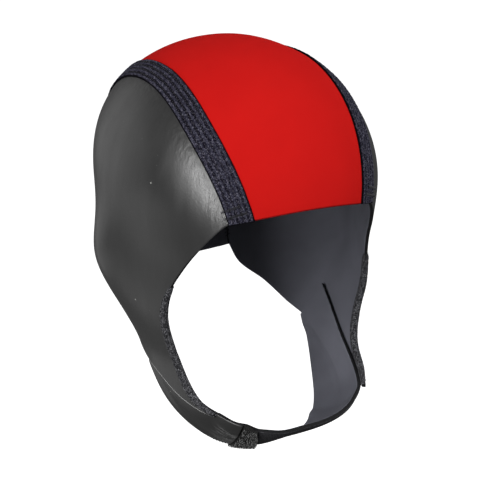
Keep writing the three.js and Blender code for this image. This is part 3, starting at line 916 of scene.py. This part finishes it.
def binding(side, word, look):
    """Knit strip wrapped round the cut edge of the flap."""
    along = mix(BINDING_START, BINDING_END, spread(BINDING_STEPS))
    edge, inward, ups = binding_frame(side, along)
    width = binding_width(along)
    lift = flap_lift(edge[:, 2])
    half = WALL / 2
    rise = half + BINDING_ROOM
    turns = np.radians(np.linspace(90, 270, 13))
    arc = np.stack([np.cos(turns) * BINDING_NOSE, np.sin(turns) * rise], -1)
    flat = np.linspace(1, 0.15, 7)[:, None]
    upper = np.hstack([flat, np.full_like(flat, rise)])
    profile = np.vstack([upper, arc, upper[::-1] * (1, -1)])
    stretch = np.where(profile[:, :1] > 0, 1.0, 0.0)
    inwards = profile[None, :, 0] * mix(1.0, width[:, None], stretch[None, :, 0])
    heights = profile[None, :, 1] + lift[:, None] - half
    centre = edge[:, None] + inward[:, None] * inwards[..., None] + ups[:, None] * heights[..., None]
    around = unit(np.gradient(centre, axis=1))
    outwards = unit(np.cross(around, unit(np.gradient(centre, axis=0))))
    middle = len(profile) // 2
    outwards *= np.sign((outwards[:, middle] * -inward).sum(-1))[:, None, None]
    length = arc_lengths(centre)
    spot = np.linalg.norm(np.diff(centre, axis=1), axis=-1)
    across = np.concatenate([np.zeros((len(along), 1)), np.cumsum(spot, 1)], 1)
    generator = np.random.default_rng(BINDING_SEED + side)
    ribs = np.cos(FULL_TURN * (length / RIB_PITCH + across / RIB_LEAN))
    relief = RIB_HEIGHT * ribs + RIB_ROUGHNESS * uneven(across.shape, 1, generator)
    ends = smooth_share(along, BINDING_START, BINDING_START + BINDING_FADE)
    ends = (ends * smooth_share(-along, -BINDING_END, BINDING_THINS - BINDING_END))[:, None]
    outer = centre + outwards * ((BINDING_THICKNESS + relief) * mix(0.15, 1, ends))[..., None]
    rows, columns = across.shape
    quads = grid_quads(rows, columns)
    start = rows * columns
    rim = border(rows, columns)
    walls = np.stack([np.roll(rim, -1), rim, rim + start, np.roll(rim, -1) + start], -1)
    faces = np.vstack([quads, quads[:, ::-1] + start, walls]).tolist()
    vertices = np.vstack([outer.reshape(-1, 3), centre.reshape(-1, 3)])
    uv = np.stack(np.broadcast_arrays(length, across), -1).reshape(-1, 2)
    values = {"relief": np.tile(relief.ravel(), 2)}
    name = f"edge_binding_{word}"
    piece = make_piece(name, vertices, faces, [look], None, np.tile(uv, (2, 1)), values)
    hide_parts(f"face_binding_{word}")


# Pitch and length as shares of the face edge, the rest in millimetres
RUN_PITCH, RUN_LENGTH, RUN_FROM_EDGE, RUN_SLANT = 0.0155, 0.0105, 0.55, 0.35


def binding_stitches(side):
    """Running stitch along the binding's inner edge."""
    along = np.arange(BINDING_START + 0.02, BINDING_END - 0.03, RUN_PITCH)
    edge, inward, ups = binding_frame(side, along)
    after, inward_after, _ = binding_frame(side, along + RUN_LENGTH)
    width = (binding_width(along) - RUN_FROM_EDGE)[:, None]
    starts = edge + inward * width
    ends = after + inward_after * (width + RUN_SLANT)
    lift = flap_lift(edge[:, 2])[:, None] * ups
    return stitches_on(starts + lift, ends + lift, 0.62, 0.16, sink=-0.2)


strap_front = natural_spline(STRAP_ANGLES, STRAP_FRONT)
strap_rear = natural_spline(STRAP_ANGLES, STRAP_REAR)


def strap_place(angle, across, front=0.0, rear=0.0):
    """Place across a band that stands out over the strap's front and rear edges."""
    folded = np.where(angle > 90, 180 - angle, angle)
    return mix(strap_front(folded) + front, strap_rear(folded) - rear, across)


def tab_place(angle, across):
    shown = angle > TAB_EDGE
    front = np.where(shown, TAB_OVERHANG_FRONT, TAB_COVERED_OVERHANG)
    rear = np.where(shown, TAB_OVERHANG_REAR, TAB_COVERED_OVERHANG)
    return strap_place(angle, across, front, rear)


def strap_hit(side, angle, place):
    """Point on the form at an angle round the strap's centre and a place across its width."""
    turn, place = np.broadcast_arrays(np.radians(angle), np.asarray(place, float))
    sink, run = math.sin(STRAP_TILT), math.cos(STRAP_TILT)
    origins = np.stack([0 * turn, STRAP_CENTRE_Y - sink * place, STRAP_CENTRE_Z + run * place], -1)
    forward = np.sin(turn)
    return hit(origins, np.stack([side * np.cos(turn), -run * forward, -sink * forward], -1))


def root_level(points, angle, place):
    """Level of a strap's outer face at its root: below the flap, and up again behind it."""
    under_flap = flap_lift(points[..., 2]) - WALL - LAYER_GAP
    rise = smooth_share(-place, *REAR_PLACES) * smooth_share(angle, *REAR_ANGLES)
    return mix(under_flap, REAR_LEVEL, rise)


def exposed_level(points, angle, place, chin_level):
    return mix(root_level(points, angle, place), chin_level, smooth_share(angle, *ROOT_ZONE))


def upper_level(points, angle, place):
    return exposed_level(points, angle, place, UPPER_STRAP_OUTER)


def upper_thickness(angle):
    return mix(WALL, STRAP_END_THICKNESS, smooth_share(angle, TAB_START_ANGLE - 1, STRAP_END_ANGLE))


def covered_tab_outer(points, angle, place):
    """Level of the tab's outer face below the upper strap."""
    return upper_level(points, angle, place) - upper_thickness(angle) - LAYER_GAP


def tab_inner(points, angle, place):
    rise = smooth_share(angle, TAB_EDGE, TAB_RISE_TO)
    return mix(covered_tab_outer(points, angle, place), TAB_LEVEL, rise) - TAB_THICKNESS


def lower_inset(angle):
    return LOWER_INSET * (1 - smooth_share(180 - angle, *LOWER_INSET_ANGLES))


def strap_grid(side, end, steps, inset=None):
    angle = np.linspace(STRAP_ROOT_ANGLE, end, steps + 1)[:, None]
    front = -inset(angle) if inset else 0.0
    place = strap_place(angle, spread(STRAP_STEPS_ACROSS)[None, :], front)
    points = strap_hit(side, angle, place)
    return angle, place, points, (arc_lengths(points), place)


# The strap's free end is rubbed by the hooks from these angles and places on
STRAP_RUB_ANGLES = (50, 58)
STRAP_RUB_PLACES = (-2, 4)


def upper_strap(looks):
    angle, place, points, uv = strap_grid(RIGHT, STRAP_END_ANGLE, 90)
    outer = upper_level(points, angle, place)
    levels = outer, outer - upper_thickness(angle)
    rub = smooth_share(angle, *STRAP_RUB_ANGLES) * smooth_share(-place, *STRAP_RUB_PLACES)
    piece = sheet_piece("strap_right", points, levels, STRAP_ROLL, uv, looks, "smooth_skin", rub=rub)
    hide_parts("chin_strap_right")


def lower_strap(looks):
    angle, place, points, uv = strap_grid(LEFT, 180 - LOWER_STRAP_END_ANGLE, 160, lower_inset)
    from_right = 180 - angle
    under_tab = tab_inner(points, from_right, place) - LAYER_GAP
    chin_level = mix(under_tab, CHIN_LEVEL, smooth_share(from_right, *CHIN_ANGLES))
    outer = exposed_level(points, angle, place, chin_level)
    levels = outer, outer - WALL
    piece = sheet_piece("strap_left", points, levels, STRAP_ROLL, uv, looks, "smooth_skin")
    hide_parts("chin_strap_left")


# Teeth of the tab's cut edge: their pitch, their depth on the long edges and, in degrees, at the end
TOOTH, TOOTH_DEPTH, END_TOOTH_ANGLE = 1.7, 0.35, 0.35
END_TEETH = np.array([0.3, 0.7, 1.0])


def saw(values, period):
    """Triangle wave from -1 to 1."""
    return 2 * np.abs(2 * (values / period % 1) - 1) - 1


def tab_angle(share, across):
    """Angle on the part of the tab that shows: its free end is cut askew."""
    return mix(TAB_EDGE + TAB_STEP_ANGLE, mix(TAB_END_FRONT, TAB_END_REAR, across), share)


def hook_tab(looks):
    """Hook tape with a ragged cut edge: thin under the strap's end, full height beyond it."""
    across = spread(TAB_STEPS_ACROSS)[None, :]
    covered = mix(TAB_START_ANGLE, TAB_EDGE, spread(TAB_COVERED_STEPS))[:, None] + 0 * across
    angle = np.vstack([covered, tab_angle(spread(TAB_STEPS)[:, None], across)])
    place = tab_place(angle, across)
    length = arc_lengths(strap_hit(RIGHT, angle, place))
    ragged = TOOTH_DEPTH * saw(length, TOOTH) * (2 * across - 1) ** 8
    place = place - ragged * np.sign(across - 0.5)
    last = np.zeros_like(angle)
    last[-len(END_TEETH) :] = END_TEETH[:, None]
    points = strap_hit(RIGHT, angle + END_TOOTH_ANGLE * last * saw(place, TOOTH), place)
    outer = np.where(angle > TAB_EDGE, TAB_LEVEL, covered_tab_outer(points, angle, place))
    levels = outer, tab_inner(points, angle, place)
    piece = sheet_piece("hook_ground", points, levels, TAB_ROLL, (length, place), looks, "hook_tape")
    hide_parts("fastening_tab")


HOOK_ROWS, HOOKS_IN_ROW = 13, 31
HOOK_RADIUS = 0.17
# A hook's bend from its foot to its tip: how far it leans over and how high it stands
HOOK_SHAPE = np.array([(0, -0.2), (0.02, 0.45), (0.14, 0.78), (0.36, 0.85), (0.52, 0.66), (0.5, 0.48)])
HOOK_SIZES = (0.85, 1.1)
HOOK_TAPER = (1.2, 1, 1, 0.9, 0.7)
HOOK_JITTER, HOOK_TWIST = 0.18, 0.3


def hooks(look):
    """Small bent hooks in rows on the part of the tab that shows."""
    generator = np.random.default_rng(HOOK_SEED)
    bases, leans = [], []
    for number, share in enumerate(np.linspace(0.02, 0.98, HOOK_ROWS)):
        across = np.linspace(0.01, 0.98, HOOKS_IN_ROW) + (number % 2) * 0.5 / HOOKS_IN_ROW
        jitter = generator.normal(0, HOOK_JITTER, (2, HOOKS_IN_ROW))
        angle = tab_angle(share, across) + jitter[0]
        place = tab_place(angle, across) + jitter[1]
        here = strap_hit(RIGHT, angle, place)
        bases.append(here)
        leans.append(strap_hit(RIGHT, angle, place + (-1) ** number) - here)
    bases, leans = np.vstack(bases), unit(np.vstack(leans))
    ups = normals_at(bases)
    twist = generator.normal(0, HOOK_TWIST, (len(bases), 1))
    leans = unit(leans + twist * np.cross(ups, leans))
    over, up = HOOK_SHAPE[None, :, :1], HOOK_SHAPE[None, :, 1:]
    size = generator.uniform(*HOOK_SIZES, (len(bases), 1, 1))
    paths = leans[:, None] * over * size + ups[:, None] * up * size
    paths += (bases + ups * TAB_LEVEL)[:, None]
    vertices, faces = tubes(paths, HOOK_RADIUS, np.cross(ups, leans)[:, None], HOOK_TAPER)
    make_piece("hook_field", vertices, faces, [look])


# Rows across the strap, and the pitch and length of their stitches in degrees
STRAP_STITCH_PLACES = (-2, -9.5, -17, -23)
STRAP_STITCH_PITCH, STRAP_STITCH_LENGTH = 1.5, 1.15


def strap_stitches():
    """Rows of stitches that hold the hook tab under the end of the right strap."""
    bundles = []
    starts = np.arange(STRAP_END_ANGLE - 8.5, STRAP_END_ANGLE - 1.2, STRAP_STITCH_PITCH)
    for place in STRAP_STITCH_PLACES:
        pair = [strap_hit(RIGHT, angle, place) for angle in (starts, starts + STRAP_STITCH_LENGTH)]
        level = upper_level(pair[0], starts, place)[:, None] + 0.04
        bundles.append(stitches_on(*pair, level, 0.15))
    return bundles


ZIGZAG_TURNS, ZIGZAG_SWING, ZIGZAG_RADIUS = 270, 1.5, 0.2


def inner_seam(side):
    """Zigzag of thread on the lining along the joint between crown and side panel."""
    along = np.linspace(0.012, 0.985, ZIGZAG_TURNS)
    swing = ZIGZAG_SWING * np.where(np.arange(ZIGZAG_TURNS) % 2 == 0, 1, -1)
    points = tape_points(side, along, TAPE_MIDDLE + swing)
    ups = normals_at(points)
    level = points - ups * (WALL + 0.1)
    middle = (level[:-1] + level[1:]) / 2 - ups[:-1] * 0.12
    paths = np.stack([level[:-1], middle, level[1:]], 1)
    return tubes(paths, ZIGZAG_RADIUS, ups[:-1, None], (0.8, 1, 0.8))


# Stage

# The photograph's camera: where it stands and what it looks at, in metres
CAMERA_PLACE = Vector((-0.6969, -1.2672, 0.3241))
CAMERA_AIM = Vector((-0.0020, -0.0142, -0.1200))
LENS = 185.6
SENSOR = 36.0
FLOOR_LEVEL = -0.85
FLOOR_SIZE = 120.0
FLOOR_GLOW = 1.0
WORLD_STRENGTH = 0.1
WHITE = (1, 1, 1, 1)
LIGHTS_AIM = Vector((0, -0.01, -0.11))
# Name by the picture's sides, azimuth and elevation in degrees, distance, width and height in
# metres, lean, radiance
LIGHTS = (
    ("top_soft", 20, 75, 1.6, 1.6, 1.6, 0, 1.2),
    ("front_soft", 10, 35, 1.8, 1.2, 1.0, 0, 1.3),
    ("right_soft", 60, 25, 1.8, 1.4, 1.2, 0, 3.2),
    ("key_strip", -64, 9, 1.1, 0.18, 1.1, 30, 16.5),
    ("rear_soft", -150, 8, 1.5, 1.4, 1.1, 0, 0.5),
    ("rear_low", -134, -24, 1.0, 1.1, 0.4, 0, 0.4),
)


def add_camera():
    data = bpy.data.cameras.new("camera")
    data.lens, data.sensor_width = LENS, SENSOR
    camera = add_object("camera", data)
    camera.location = CAMERA_PLACE
    camera.rotation_euler = (CAMERA_AIM - CAMERA_PLACE).to_track_quat("-Z", "Y").to_euler()
    bpy.context.scene.camera = camera


def add_light(name, azimuth, elevation, distance, width, height, lean, radiance):
    """Soft rectangular light that looks at the cap.

    Azimuth 0 is in front, -90 on the wearer's right. Lean turns it about the line to the cap.
    Radiance is what the cap sees of its face.
    """
    turn, rise = math.radians(azimuth), math.radians(elevation)
    toward = Vector((math.sin(turn) * math.cos(rise), -math.cos(turn) * math.cos(rise), math.sin(rise)))
    data = bpy.data.lights.new(name, "AREA")
    data.shape, data.size, data.size_y = "RECTANGLE", width, height
    data.energy = radiance * math.pi * width * height
    light = add_object(name, data)
    light.location = LIGHTS_AIM + toward * distance
    turned = (-toward).to_track_quat("-Z", "Y") @ Quaternion((0, 0, 1), math.radians(lean))
    light.rotation_euler = turned.to_euler()


def add_floor():
    """Pale floor that shows white and leaves the light on the cap alone."""
    half = FLOOR_SIZE / 2
    corners = [(-half, -half), (half, -half), (half, half), (-half, half)]
    mesh = bpy.data.meshes.new("floor")
    mesh.from_pydata([(x, y, FLOOR_LEVEL) for x, y in corners], [], [(0, 1, 2, 3)])
    glow = {"Emission_Strength": FLOOR_GLOW, "Emission_Color": WHITE}
    material, tree = new_material("pale_floor", 0.8, **glow)
    tone = ramp(tree, noise(tree, object_place(tree), 3), (0.3, grey(236)), (0.7, grey(240)))
    mesh.materials.append(finished(material, tone))
    floor = add_object("floor", mesh)
    floor.visible_diffuse = floor.visible_glossy = False


def add_world():
    world = bpy.data.worlds.new("studio")
    world.use_nodes = True
    inputs = world.node_tree.nodes["Background"].inputs
    inputs["Color"].default_value = WHITE
    inputs["Strength"].default_value = WORLD_STRENGTH
    bpy.context.scene.world = world


def add_stage():
    add_camera()
    add_floor()
    add_world()
    for light in LIGHTS:
        add_light(*light)
    bpy.context.scene.view_settings.view_transform = "Standard"


def add_cap():
    skin, foam, lining = smooth_skin_material(), foam_material(), lining_material()
    knit, edge_knit = knit_tape_material(), edge_knit_material()
    # The hook nylon's light grey tones are painted highlights that stand in for glints on black hooks
    ground, nylon = hook_material("hook_ground", 0.8, 9, 20), hook_material("hook_nylon", 0.4, 18, 176)
    navy = thread_material("navy_thread", colour(12, 11, 19), colour(36, 34, 48))
    pale = thread_material("grey_thread", colour(52, 52, 54), colour(96, 96, 98))
    crown_panel([jersey_material(), foam, lining])
    for side, word in SIDES:
        side_panel(side, word, [skin, foam, lining])
        seam_tape(side, word, knit)
        thread_piece(f"tape_thread_{word}", tape_stitches(side), navy)
        binding(side, word, edge_knit)
        thread_piece(f"binding_thread_{word}", [binding_stitches(side)], pale)
        thread_piece(f"inner_seam_{word}", [inner_seam(side)], navy)
    upper_strap([skin, foam, lining])
    lower_strap([loop_cloth_material(), foam, lining])
    hook_tab([ground])
    hooks(nylon)
    thread_piece("strap_thread", strap_stitches(), pale)


add_stage()
add_cap()
